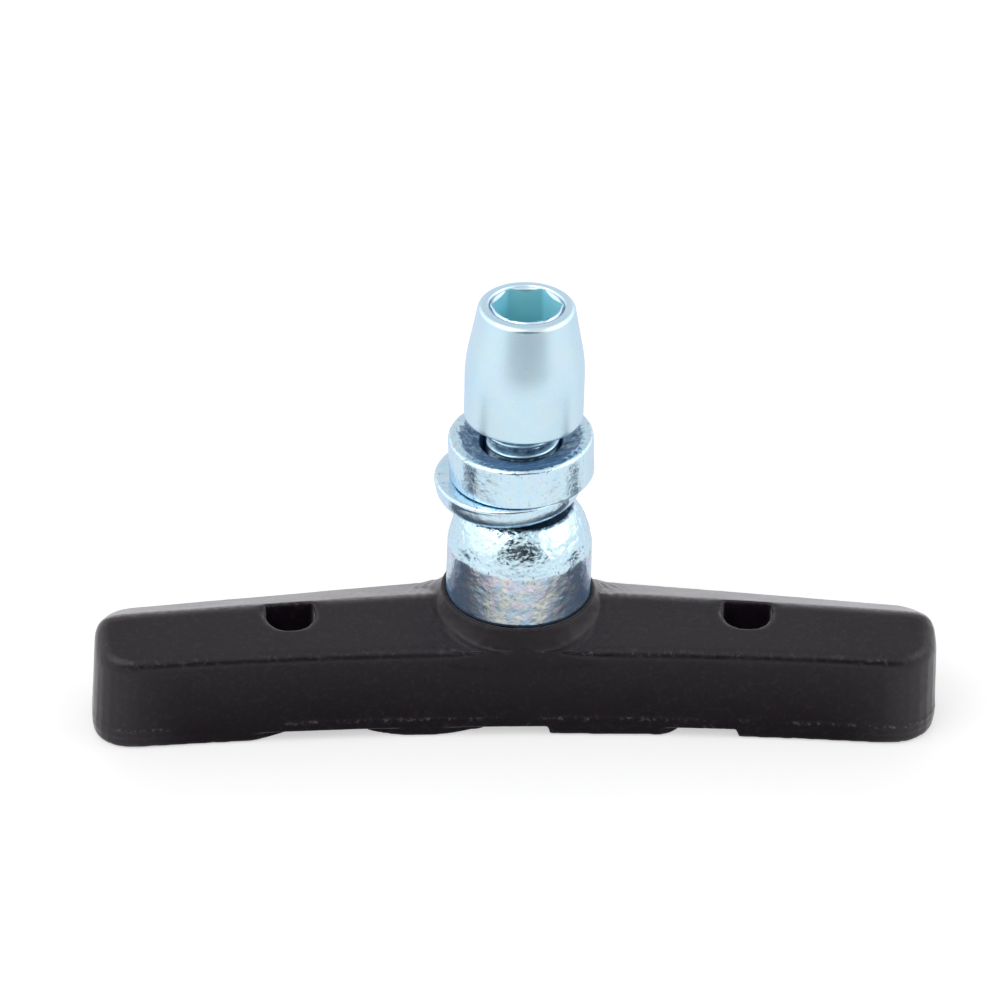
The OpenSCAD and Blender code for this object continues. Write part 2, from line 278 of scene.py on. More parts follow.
class Plating:
    """Blue-passivated zinc: cold white with thin films of colour and pits, and painted shade in slate-blue
    blotches, black where it is deepest.
    """

    COLD = (0.63, 0.86, 0.97, 1)
    YELLOW = (0.90, 0.86, 0.60, 1)
    VIOLET = (0.78, 0.62, 0.84, 1)
    BLUE = (0.48, 0.74, 0.93, 1)
    PAINTED_SHADE_BLUE = (0.050, 0.098, 0.160, 1)
    TEAL = (0.50, 0.89, 0.92, 1)
    GREY = (0.46, 0.54, 0.60, 1)
    PAINTED_SHADOW_BLACK = (0.004, 0.005, 0.008, 1)

    def __init__(self, name, film_mm, tints, grain_mm, grain_depth, rough, specks, sheen=0.45):
        s = Shader(name)
        wear, shade, film_share, socket = map(s.attribute, ("wear", "shade", "film", "socket"))
        film = s.noise(film_mm, 4, 0.65)
        other = s.noise(film_mm * 0.8, 4, 0.65, 0.5, s.add(
            "ShaderNodeMapping", {"Vector": s.place, "Location": (0.03, 0.02, 0.05)}).outputs[0])
        share = s.math("MULTIPLY", film_share, tints)
        colour = s.mix(s.math("MULTIPLY", film_share, 0.8), self.COLD, self.GREY)
        colour = s.mix(s.math("MULTIPLY", s.remap(film, 0.45, 0.62), share), colour, self.YELLOW)
        colour = s.mix(s.math("MULTIPLY", s.remap(other, 0.47, 0.62), share), colour, self.VIOLET)
        colour = s.mix(s.math("MULTIPLY", s.remap(film, 0.36, 0.48, 1.0, 0.0), share), colour, self.BLUE)
        pits = s.remap(s.noise(grain_mm * 1.5, 5, 0.7), specks, specks + 0.07)
        soiled = s.math("MULTIPLY", pits, s.math("ADD", s.math("MULTIPLY", wear, 0.8), 0.22))
        colour = s.mix(soiled, colour, (0.09, 0.10, 0.12, 1))
        # The hex socket's walls are teal: partly the plating's tint, partly painted light standing for the light
        # that bounces inside the socket.
        colour = s.mix(socket, colour, self.TEAL)
        patches = s.remap(s.noise(0.8, 4, 0.7), 0.34, 0.60, 0.45, 1.0)
        # Painted shade from the shade layer: slate-blue blotches, black where the layer is full.
        colour = s.mix(s.math("MULTIPLY", s.remap(shade, 0.0, 0.7), patches), colour, self.PAINTED_SHADE_BLUE)
        colour = s.mix(s.remap(shade, 0.75, 1.0), colour, self.PAINTED_SHADOW_BLACK)
        dull = s.math("ADD", s.math("MULTIPLY", shade, 0.25), s.math("MULTIPLY", soiled, 0.15))
        dull = s.math("ADD", dull, s.math("MULTIPLY", socket, 0.40))
        roughness = s.math("ADD", dull, s.remap(s.noise(film_mm * 1.4, 4), 0.35, 0.7, *rough))
        normal = s.bump(s.noise(grain_mm, 4, 0.6), grain_depth, 0.8)
        normal = s.bump(s.noise(grain_mm * 3.2, 3), grain_depth * 2.2, 0.7, normal)
        self.material = s.surface(
            Base_Color=colour, Metallic=1.0, Roughness=roughness, Normal=normal,
            Sheen_Weight=sheen, Sheen_Roughness=0.6, Sheen_Tint=(0.22, 0.50, 1.0, 1))


def steel_material():
    s = Shader("plate_steel")
    streak = s.noise(0.5, 4, 0.6, 0.3)
    colour = s.mix(streak, (0.18, 0.18, 0.19, 1), (0.34, 0.35, 0.36, 1))
    roughness = s.remap(streak, 0.3, 0.7, 0.35, 0.55)
    return s.surface(Base_Color=colour, Metallic=1.0, Roughness=roughness,
                     Normal=s.bump(s.noise(0.2, 3), 0.01, 0.6))


# ---------------------------------------------------------------- rubber block

VOXEL = 0.15
DECIMATE = 0.34
TREAD_Z = 0.85
FLASH_Z = TREAD_Z + 0.95
PIN_HOLES = (-19.0, 19.0)
PIN_HOLE_R = 2.05


def mesh_points(mesh, field="co"):
    values = np.empty(len(mesh.vertices) * 3)
    mesh.vertices.foreach_get(field, values)
    return values.reshape(-1, 3)


def evaluated_mesh(piece):
    view = bpy.context.evaluated_depsgraph_get()
    return bpy.data.meshes.new_from_object(piece.evaluated_get(view))


def neighbour_mean(edges, values):
    """Mean of each vertex's neighbours."""
    ends = np.concatenate([edges[:, 0], edges[:, 1]])
    others = np.concatenate([edges[:, 1], edges[:, 0]])
    count = len(values)
    number = np.maximum(np.bincount(ends, minlength=count), 1)
    columns = values.reshape(count, -1)
    total = np.stack([np.bincount(ends, columns[others, i], count) for i in range(columns.shape[1])], axis=1)
    return (total / number[:, None]).reshape(values.shape)


INNER_REACH, OUTER_REACH = 6.9, 6.7
RIM_RADIUS = 300
OUTER_TAPER = math.tan(math.radians(8.7))
APEX_ROUND = 1.5
RIDGE_SHARE = 0.54
WALL_DRAFT = 0.18
INNER_WALL_H, RIDGE_H, OUTER_WALL_H = 7.5, 8.8, 6.3
COLLAR_RIM_R = 6.35


def block_top(x, y):
    """Height of the block's upper surface, were there no collar."""
    inner = -INNER_REACH - (RIM_RADIUS - np.sqrt(RIM_RADIUS ** 2 - x * x))
    outer = OUTER_REACH - (np.sqrt(x * x + APEX_ROUND ** 2) - APEX_ROUND) * OUTER_TAPER
    ridge = inner + RIDGE_SHARE * (outer - inner)
    front = np.clip((y - inner - WALL_DRAFT) / (ridge - inner - WALL_DRAFT), 0, 1)
    back = np.clip((y - ridge) / (outer - WALL_DRAFT - ridge), 0, 1)
    return TREAD_Z + np.where(y < ridge, INNER_WALL_H + (RIDGE_H - INNER_WALL_H) * front,
                              RIDGE_H + (OUTER_WALL_H - RIDGE_H) * back)


def drawn_in(points):
    """The collar with its sweep drawn in at front and back, where the block is narrow."""
    x, y, z = points.T
    from_stud = np.hypot(x, y)
    sideways = (x / np.maximum(from_stud, 0.1)) ** 2
    reach = 0.30 + 2.4 * sideways ** 1.5
    keep = np.exp(-(np.maximum(from_stud - COLLAR_RIM_R + 0.05, 0) / reach) ** 2)
    top = block_top(x, y)
    low = np.where(z > top, top + (z - top) * keep, z)
    return np.stack([x, y, np.where(from_stud < 10, low, z)], axis=1)


def rubber_piece():
    """The CAD block as a dense mesh with softened edges, moulding marks and small chips."""
    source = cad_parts["rubber_block"].data.copy()
    source.transform(Matrix.Scale(1 / MM, 4))
    target = bpy.data.objects.new("block_target", source)
    shape = bpy.data.objects.new("block_shape", source)
    for helper in (target, shape):
        bpy.context.scene.collection.objects.link(helper)
    remesh = shape.modifiers.new("even", "REMESH")
    remesh.mode = "VOXEL"
    remesh.voxel_size = VOXEL
    wrap = shape.modifiers.new("onto_form", "SHRINKWRAP")
    wrap.target = target
    soften = shape.modifiers.new("soften", "SMOOTH")
    soften.factor = 0.5
    soften.iterations = 5
    mesh = evaluated_mesh(shape)
    mesh.vertices.foreach_set("co", drawn_in(mesh_points(mesh)).ravel())
    mesh.update()
    points = mesh_points(mesh)
    normals = mesh_points(mesh, "normal")
    # The back slope, which gets the painted reflection of the floor behind.
    back_slope = smoothstep(0.12, 0.30, normals[:, 1]) * smoothstep(0.6, 0.85, normals[:, 2])
    edges = np.empty(len(mesh.edges) * 2, dtype=int)
    mesh.edges.foreach_get("vertices", edges)
    edges = edges.reshape(-1, 2)

    smooth = points
    for _ in range(8):
        smooth = neighbour_mean(edges, smooth)
    bend = neighbour_mean(edges, np.einsum("ij,ij->i", points - smooth, normals))
    for _ in range(12):
        smooth = neighbour_mean(edges, smooth)
    from_stud = np.hypot(points[:, 0], points[:, 1])
    hole_gap = np.minimum.reduce([np.hypot(points[:, 0] - x, points[:, 1]) for x in PIN_HOLES])
    blunt_height = smoothstep(3.0, 5.0, points[:, 2]) + 0.7 * (1 - smoothstep(0.5, 0.8, points[:, 2]))
    blunt = (blunt_height * smoothstep(0.004, 0.03, bend)
             * smoothstep(PIN_HOLE_R + 0.4, PIN_HOLE_R + 1.4, hole_gap)
             * smoothstep(COLLAR_RIM_R + 0.2, COLLAR_RIM_R + 1.0, from_stud))
    blunt = neighbour_mean(edges, neighbour_mean(edges, blunt))
    points = points + (smooth - points) * blunt[:, None]
    wear = smoothstep(0.015, 0.07, bend)
    chips = smoothstep(0.35, 0.9, rough_noise(points, 0.8, 23)) * wear
    side_wall = 1 - smoothstep(0.3, 0.6, np.abs(normals[:, 2]))
    flash = (near(points[:, 2], FLASH_Z, 0.13) * side_wall
             * smoothstep(-0.5, 0.2, rough_noise(points * [1, 1, 0], 5.0, 31, 2)))
    # Painted shade around the spacer's foot, with a ragged edge.
    seat = (1 - smoothstep(6.2, 7.6, from_stud + 0.4 * rough_noise(points, 1.6, 43, 3))) * 0.8
    chips *= smoothstep(PIN_HOLE_R + 0.5, PIN_HOLE_R + 1.2, hole_gap)
    ripples = near(from_stud, 7.9, 1.3) * np.sin(from_stud * TAU / 0.8 + 1.5 * rough_noise(points, 3.0, 51, 2))
    upward = smoothstep(0.1, 0.4, normals[:, 2])
    wander = rough_noise(points, 2.0, 63, 3)
    collar_side = near(from_stud, 6.7, 0.8) * (1 - upward) * smoothstep(8.5, 9.0, points[:, 2])
    relief = (0.020 * rough_noise(points, 7.0, 3, 2) + 0.007 * rough_noise(points, 0.9, 5)
              - 0.04 * chips + 0.05 * flash + 0.038 * ripples * upward
              + 0.03 * near(from_stud, 7.0, 1.5) * upward * rough_noise(points, 0.7, 57, 3)
              + 0.04 * collar_side * np.sin(points[:, 2] * TAU / 0.7 + 1.5 * wander))
    mesh.vertices.foreach_set("co", (points + normals * relief[:, None]).ravel())
    patchy = smoothstep(-0.35, 0.45, rough_noise(points, 2.2, 11))
    add_layer(mesh, "wear", (0.4 * wear * (0.15 + patchy) + 0.6 * flash) * (1 - 0.7 * seat))
    add_layer(mesh, "shade", seat)
    # Painted reflection on the back slope, kept off the painted shade around the stud.
    add_layer(mesh, "painted_sheen", back_slope * (1 - seat) * 0.9)
    shape.modifiers.clear()
    shape.data = mesh
    thin = shape.modifiers.new("thin", "DECIMATE")
    thin.ratio = DECIMATE
    final = evaluated_mesh(shape)
    final.name = "rubber_block_moulded"
    for helper in (target, shape):
        bpy.data.objects.remove(helper)
    final.transform(Matrix.Scale(MM, 4))
    final.polygons.foreach_set("use_smooth", [True] * len(final.polygons))
    piece = bpy.data.objects.new("rubber_block_moulded", final)
    bpy.context.scene.collection.objects.link(piece)
    final.materials.clear()
    final.materials.append(rubber_material())
    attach(piece, "root")
    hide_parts("rubber_block")
    return piece


# ---------------------------------------------------------------- stud

STUD_R = 3.0
THREAD_PITCH = 1.0
THREAD_DEPTH = 0.6
HEAD_R = 4.75
HEAD_T = 1.6
SHANK_TOP = 10.6
STUD_CHAMFER = 0.6


def stud_piece(material):
    """Stud with a rolled thread, and its head in the rubber."""
    low, high = box_mm("threaded_stud")
    around = 144
    rows = np.concatenate([
        [low[2]] * 4, [low[2] + HEAD_T] * 2,
        np.linspace(low[2] + HEAD_T, SHANK_TOP, 5)[1:],
        np.arange(SHANK_TOP, high[2], 0.09)[1:], [high[2]] * 3])
    base = np.full(len(rows), STUD_R)
    base[:6] = [0.01, 1.5, 3.0, HEAD_R, HEAD_R, STUD_R]
    base[-3:] = [STUD_R - STUD_CHAMFER, 1.2, 0.01]
    threaded = np.zeros(len(rows))
    threaded[10:-3] = 1
    angle = np.arange(around) * TAU / around
    turn = (rows[:, None] / THREAD_PITCH - angle[None, :] / TAU) % 1.0
    flank = np.clip((np.abs(turn - 0.5) * 2 - 0.12) / 0.68, 0, 1)
    deep = THREAD_DEPTH * (1 - flank) * threaded[:, None] * smoothstep(SHANK_TOP, SHANK_TOP + 1.2, rows)[:, None]
    tip = np.minimum(STUD_R, STUD_R - STUD_CHAMFER + (high[2] - rows))[:, None]
    radius = np.where(threaded[:, None] > 0, np.minimum(base[:, None] - deep, tip), base[:, None])
    grid = np.stack([radius * np.cos(angle), radius * np.sin(angle),
                     np.repeat(rows[:, None], around, axis=1)], axis=-1)
    faces = ring_grid(grid.shape[:2])[:-around]
    top = (len(rows) - 1) * around
    caps = [list(range(around))[::-1], [top + i for i in range(around)]]
    points = grid.reshape(-1, 3)
    piece = add_piece("stud_thread", points, faces.tolist() + caps, material, "threaded_stud")
    root = np.clip((STUD_R - np.hypot(points[:, 0], points[:, 1])) / THREAD_DEPTH, 0, 1)
    # Painted shade on the whole thread, deeper in its roots.
    add_layer(piece.data, "shade", 0.22 + 0.5 * root)
    add_layer(piece.data, "wear", 1 - root)
    return piece


# ---------------------------------------------------------------- spacer, cup washer, seat ring

SPACER_R = 6.0
SPACER_WALL_H = 5.1
DOME_SINK = 0.6
DOME_R = 5.95
SPACER_BORE_R = 3.2
CUP_R = 6.05
CUP_T = 2.2
CUP_BORE_R = 4.1
CUP_TILT = 4.4
CUP_FOOT_ROUND = 1.6
CUP_WEDGE = 0.022
CUP_HOLLOW_R = 4.4
CUP_HOLLOW_H = 0.25
RING_R = 5.95
RING_H = 3.6
RING_BORE_R = 3.35
RING_TILT = 2.8
RING_DISH_R = 5.2
RING_DISH_DEPTH = 0.65
RING_FOOT_ROUND = 0.15
EDGE_ROUND = 0.35


def near(value, target, width):
    return np.exp(-((value - target) / width) ** 2)


def forged_relief(seed, coarse, fine):
    """Uneven surface left by forging: broad hollows and fine roughness, all inside the true form."""
    def relief(points):
        hollows = np.minimum(rough_noise(points, 3.2, seed, 2), 0.3)
        rough = rough_noise(points, 0.7, seed + 40)
        return np.minimum(coarse * hollows + fine * rough - (coarse + fine) * 0.6, 0)
    return relief


def forged_piece(name, profile, spacing, relief, tilt, material, node, layers):
    """Revolved washer or spacer that lies where its CAD node lies; layers(points) gives its values."""
    plain, _ = revolved(np.array(profile), 72, lambda points: np.zeros(len(points)))
    plain = tilted(plain, tilt)
    shift = box_centre(node) - centre_of(plain.min(0), plain.max(0))
    points, faces = revolved(dense(profile, spacing), 420, relief)
    piece = add_piece(name, tilted(points, tilt) + shift, faces, material, node)
    patchy = smoothstep(-0.5, 0.5, rough_noise(points, 1.3, 71))
    for layer, values in layers(points, np.hypot(points[:, 0], points[:, 1])).items():
        add_layer(piece.data, layer, values * patchy if layer == "wear" else values)
    return piece


def spacer_piece(material):
    dome_z = SPACER_WALL_H - DOME_SINK
    dome_top = dome_z + math.sqrt(DOME_R ** 2 - SPACER_BORE_R ** 2)
    bore_angle = math.degrees(math.acos(SPACER_BORE_R / DOME_R))
    sink_angle = math.degrees(math.asin(DOME_SINK / DOME_R))
    profile = ([(SPACER_BORE_R, 0.0)] + arc((SPACER_R - EDGE_ROUND, EDGE_ROUND), EDGE_ROUND, -90, 0, 6)
               + arc((SPACER_R - 1.2, SPACER_WALL_H - 0.30), 1.2, 0, 16, 4)
               + arc((0, dome_z), DOME_R, sink_angle + 5, bore_angle, 48))
    forged = forged_relief(5, 0.030, 0.018)

    def relief(points):
        wander = 0.10 * rough_noise(points * [1, 1, 0], 1.4, 61, 2)
        shoulder = near(points[:, 2], SPACER_WALL_H + 0.05 + wander, 0.30)
        above = smoothstep(SPACER_WALL_H, SPACER_WALL_H + 0.4, points[:, 2])
        crumpled = np.minimum(rough_noise(points, 0.55, 83, 3), 0.4) - 0.4
        return forged(points) - 0.010 * shoulder + above * 0.036 * crumpled

    def layers(p, r):
        # Painted shade on the dome's top, where the cup washer covers it, reaching lower towards the front right,
        # and in the bore.
        gaping = near(np.degrees(np.arctan2(p[:, 1], p[:, 0])), -60, 38)
        covered = dome_top - 1.15 - 0.10 * gaping
        return {"wear": near(p[:, 2], SPACER_WALL_H, 0.5) + near(p[:, 2], dome_top, 0.8)
                        + 0.55 * (p[:, 2] < SPACER_WALL_H),
                "shade": np.maximum(smoothstep(covered, covered + 0.35, p[:, 2]),
                                    1 - smoothstep(SPACER_BORE_R, SPACER_BORE_R + 0.5, r)),
                "film": 0.18 + 0.82 * (1 - smoothstep(SPACER_WALL_H - 0.6, SPACER_WALL_H, p[:, 2]))}
    return forged_piece("spacer_domed", profile, lambda r, z: 0.09 if r > 3.3 and z > 0.05 else 0.6,
                        relief, 0, material, "domed_spacer", layers)


def cup_piece(material):
    sphere_r = (CUP_HOLLOW_R ** 2 + CUP_HOLLOW_H ** 2) / (2 * CUP_HOLLOW_H)
    hollow = [(r, CUP_HOLLOW_H - sphere_r + math.sqrt(sphere_r ** 2 - r * r))
              for r in np.linspace(CUP_BORE_R, CUP_HOLLOW_R, 4)]
    profile = (hollow + arc((CUP_R - CUP_FOOT_ROUND, CUP_FOOT_ROUND), CUP_FOOT_ROUND, -90, 0, 14)
               + arc((CUP_R - EDGE_ROUND, CUP_T - EDGE_ROUND), EDGE_ROUND, 0, 90, 6)
               + [(5.2, CUP_T), (CUP_BORE_R, CUP_T)])

    forged = forged_relief(17, 0.026, 0.012)

    def relief(points):
        top = smoothstep(CUP_T - EDGE_ROUND, CUP_T, points[:, 2])
        return forged(points) + top * CUP_WEDGE * (CUP_R - 0.35 - points[:, 0])

    def layers(p, r):
        # Painted shade under the cup washer and in its bore.
        return {"wear": near(p[:, 2], CUP_T, 0.35) * (r > 5.4) + near(p[:, 2], 0.5, 0.5),
                "shade": (1 - smoothstep(0.30, 0.55, p[:, 2])) + (r < CUP_BORE_R + 0.1),
                "film": np.full(len(p), 0.28)}
    return forged_piece("cup_washer_forged", profile, lambda r, z: 0.09 if r > 4.4 else 0.5,
                        relief, CUP_TILT, material, "cup_washer", layers)


def ring_piece(material):
    sphere_r = (RING_DISH_R ** 2 - RING_BORE_R ** 2) / (2 * RING_DISH_DEPTH) + RING_DISH_DEPTH / 2
    centre_z = RING_H + math.sqrt(sphere_r ** 2 - RING_DISH_R ** 2)
    dish = [(r, centre_z - math.sqrt(sphere_r ** 2 - r * r))
            for r in np.linspace(RING_DISH_R, RING_BORE_R, 16)]
    profile = ([(RING_BORE_R, 0.0)] + arc((RING_R - RING_FOOT_ROUND, RING_FOOT_ROUND), RING_FOOT_ROUND, -90, 0, 5)
               + arc((RING_R - EDGE_ROUND, RING_H - EDGE_ROUND), EDGE_ROUND, 0, 90, 5) + dish)
    forged = forged_relief(29, 0.028, 0.014)

    def relief(points):
        land = smoothstep(RING_H - 0.3, RING_H - 0.05, points[:, 2])
        crumpled = np.minimum(rough_noise(points, 0.5, 91, 3), 0.3) - 0.3
        return forged(points) + land * 0.03 * crumpled

    def layers(p, r):
        land = near(p[:, 2], RING_H, 0.45) * (r > 5.0)
        wander = 0.22 * rough_noise(p, 0.9, 97, 3)
        # Painted shade in the dish, with a ragged edge, and in the bore.
        dish_shade = (1 - smoothstep(RING_DISH_R - 0.35, RING_DISH_R - 0.05, r + wander)) * 0.7
        return {"wear": land + near(p[:, 2], 0.2, 0.4) * 0.6,
                "shade": dish_shade * (p[:, 2] > RING_H - RING_DISH_DEPTH - 0.1) + (r < RING_BORE_R + 0.1),
                "film": np.full(len(p), 0.28)}
    return forged_piece("seat_ring_forged", profile, lambda r, z: 0.09 if r > 3.4 else 0.3,
                        relief, RING_TILT, material, "seat_ring", layers)


# ---------------------------------------------------------------- barrel nut

NUT_R = 4.85
NUT_H = 10.3
NUT_TOP_R = 3.875
NUT_STRAIGHT_H = 5.1
NUT_SHOULDER_R = 14.0
HEX_AF = 5.0
HEX_DEPTH = 5.4
MOUTH_H = 0.22
NUT_TOP_ROUND = 0.5
NUT_BORE_R = 3.05


def nut_piece(material):
    """Turned barrel with a hex socket that runs into the threaded bore."""
    low, _ = box_mm("barrel_nut")
    around = 360
    angle = np.arange(around) * TAU / around
    sector = (angle % (TAU / 6)) - TAU / 12
    hex_r = HEX_AF / 2 / np.cos(sector)
    hex_r = np.minimum(hex_r, HEX_AF / 2 / math.cos(math.radians(30)) - 0.06)
    lean = math.degrees(math.atan2(NUT_R - NUT_TOP_R, NUT_H - NUT_STRAIGHT_H))
    blend = NUT_SHOULDER_R * math.tan(math.radians(lean / 2))
    shoulder = (NUT_R - NUT_SHOULDER_R, NUT_STRAIGHT_H - blend)
    inset = NUT_TOP_ROUND * math.tan(math.radians((90 - lean) / 2))
    outside = ([(NUT_BORE_R + 0.4, 0.0)] + arc((NUT_R - 0.3, 0.3), 0.3, -90, 0, 8)
               + arc(shoulder, NUT_SHOULDER_R, 0, lean, 12)
               + arc((NUT_TOP_R - inset, NUT_H - NUT_TOP_ROUND), NUT_TOP_ROUND, lean, 90, 10)
               + [(HEX_AF / 2 + MOUTH_H + 0.35, NUT_H)])
    outer = dense(outside, lambda r, z: 0.25)
    outer = outer[:-1] if np.allclose(outer[-1], outer[0]) else outer
    keep = [i for i, (r, z) in enumerate(outer) if not (z > 0.02 and z < NUT_H - 0.04 and r < 3.4)]
    rings = [np.stack([np.full(around, outer[i, 0]), np.full(around, outer[i, 1])], axis=1) for i in keep]
    mouth_r = np.maximum(hex_r, HEX_AF / 2 + MOUTH_H)
    for blend_out, drop in ((0.12, 0), (0.04, 0), (0.01, 0.003), (0, 0.012)):
        rings.append(np.stack([mouth_r + blend_out, np.full(around, NUT_H - drop)], axis=1))
    mouth = np.minimum(NUT_H - MOUTH_H + (hex_r - HEX_AF / 2), NUT_H - 0.03)
    rings.append(np.stack([hex_r, mouth], axis=1))
    socket_from = len(rings)
    for share in (0.004, 0.03, 0.12, 0.3, 0.5, 0.7, 0.88, 1.0):
        rings.append(np.stack([hex_r, mouth + (NUT_H - HEX_DEPTH - mouth) * share], axis=1))
    socket_to = len(rings)
    rings.append(np.stack([np.full(around, NUT_BORE_R), np.full(around, NUT_H - HEX_DEPTH)], axis=1))
    depth = NUT_H - HEX_DEPTH
    for z in np.arange(depth - 0.1, 0.4, -0.1):
        turn = (z / THREAD_PITCH - angle / TAU) % 1.0
        cut = 0.12 * np.abs(turn - 0.5) * 2
        rings.append(np.stack([NUT_BORE_R + cut, np.full(around, z)], axis=1))
    rings.append(np.stack([np.full(around, NUT_BORE_R), np.full(around, 0.35)], axis=1))
    rz = np.array(rings)
    grid = np.stack([rz[:, :, 0] * np.cos(angle), rz[:, :, 0] * np.sin(angle), rz[:, :, 1] + low[2]], axis=-1)
    points = grid.reshape(-1, 3)
    piece = add_piece("barrel_nut_turned", points, ring_grid(grid.shape[:2]), material,
                      "barrel_nut")
    radius = np.hypot(points[:, 0], points[:, 1])
    height = points[:, 2] - low[2]
    add_layer(piece.data, "wear", near(height, NUT_H, 0.5) * 0.5)
    add_layer(piece.data, "film", np.full(len(points), 0.3))
    # Painted shade in the threaded bore below the socket.
    add_layer(piece.data, "shade", ((radius < 3.4) & (height < NUT_H - HEX_DEPTH + 0.1)) * 0.8)
    ring_number = np.arange(len(points)) // around
    # The hex socket's walls, which get the teal that is partly painted light.
    add_layer(piece.data, "socket", (ring_number >= socket_from) & (ring_number < socket_to))
    return piece


rubber = rubber_piece()
stud = stud_piece(Plating("stud_plating", 2.0, 0.3, 0.25, 0.006, (0.22, 0.34), 0.66).material)
forged = Plating("forged_plating", 1.0, 0.50, 0.24, 0.022, (0.11, 0.23), 0.575, 0.52).material
spacer = spacer_piece(forged)
cup = cup_piece(forged)
ring = ring_piece(forged)
nut = nut_piece(Plating("nut_plating", 3.0, 0.30, 0.35, 0.0015, (0.25, 0.31), 0.70).material)
plate_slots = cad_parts["backing_plate"].material_slots
for plate_slot in plate_slots:
    plate_slot.material = steel_material()

# ---------------------------------------------------------------- studio

# The camera, measured in the photograph: the stud's axis leans to the right by the roll
YAW, ELEVATION, ROLL = map(math.radians, (-3.57, 33.37, 1.80))
TARGET = Vector((0, 0, 14 * MM))
DISTANCE = 415 * MM
IMAGE = 1000
PIXELS_PER_MM = 12.133
TARGET_U, TARGET_V = 519.3, 549.2
SENSOR = 36


def add_camera():
    back = Vector((math.sin(YAW) * math.cos(ELEVATION), -math.cos(YAW) * math.cos(ELEVATION),
                   math.sin(ELEVATION)))
    level = Vector((math.cos(YAW), math.sin(YAW), 0))
    upright = back.cross(level)
    right = math.cos(ROLL) * level + math.sin(ROLL) * upright
    up = math.cos(ROLL) * upright - math.sin(ROLL) * level
    focal_px = PIXELS_PER_MM * DISTANCE / MM
    axis = (back + right * (TARGET_U - IMAGE / 2) / focal_px
            - up * (TARGET_V - IMAGE / 2) / focal_px).normalized()
    side = (right - axis * right.dot(axis)).normalized()
    data = bpy.data.cameras.new("camera")
    data.sensor_width = SENSOR
    data.lens = SENSOR * focal_px / IMAGE
    data.clip_start = 0.01
    data.clip_end = 20
    camera = bpy.data.objects.new("camera", data)
    matrix = Matrix.Identity(4)
    for column, axis_vector in enumerate((side, axis.cross(side), axis)):
        for row in range(3):
            matrix[row][column] = axis_vector[row]
    matrix.translation = TARGET + back * DISTANCE
    camera.matrix_world = matrix
    bpy.context.scene.collection.objects.link(camera)
    bpy.context.scene.camera = camera


def add_area(name, place, size, radiance, towards=(0, 0, 0.012), mirrored=True):
    """Soft panel light; radiance 1 shows as white in a mirror."""
    data = bpy.data.lights.new(name, "AREA")
    data.shape = "RECTANGLE"
    data.size, data.size_y = size
    data.energy = radiance * math.pi * size[0] * size[1]
    light = bpy.data.objects.new(name, data)
    light.location = place
    light.rotation_euler = (Vector(towards) - Vector(place)).to_track_quat("-Z", "Y").to_euler()
    light.visible_glossy = mirrored
    bpy.context.scene.collection.objects.link(light)


DARK_WIDE, DARK_NARROW = 46, 8     # half angles at the horizon and at its top, in degrees
DARK_TOP = 0.60                    # its top, as the Z of a unit direction
DARK_LOW = -0.34
DARK_SOFTNESS = 9


def dark_front(s, direction):
    """Share of darkness towards the dark room in front of the white tent, which the metal mirrors."""
    parts = s.add("ShaderNodeSeparateXYZ", {0: direction}).outputs
    turn = s.math("ARCTAN2", s.math("ABSOLUTE", parts["X"]), s.math("MULTIPLY", parts["Y"], -1.0))
    half = s.add("ShaderNodeMapRange", {
        "Value": parts["Z"], "From Min": 0.05, "From Max": DARK_TOP,
        "To Min": math.radians(DARK_WIDE), "To Max": math.radians(DARK_NARROW)}).outputs["Result"]
    inside = s.math("SUBTRACT", half, turn)
    soft = math.radians(DARK_SOFTNESS)
    share = s.remap(inside, -soft, soft)
    share = s.math("MULTIPLY", share, s.remap(parts["Z"], DARK_LOW, DARK_LOW + 0.10))
    horizon = s.math("MULTIPLY", s.remap(parts["Z"], -0.19, -0.15), s.remap(parts["Z"], 0.05, 0.12, 0.9, 0.0))
    share = s.math("MULTIPLY", share, s.math("SUBTRACT", 1.0, horizon))
    return s.math("MULTIPLY", share, s.remap(parts["Z"], DARK_TOP - 0.10, DARK_TOP + 0.06, 1.0, 0.0))


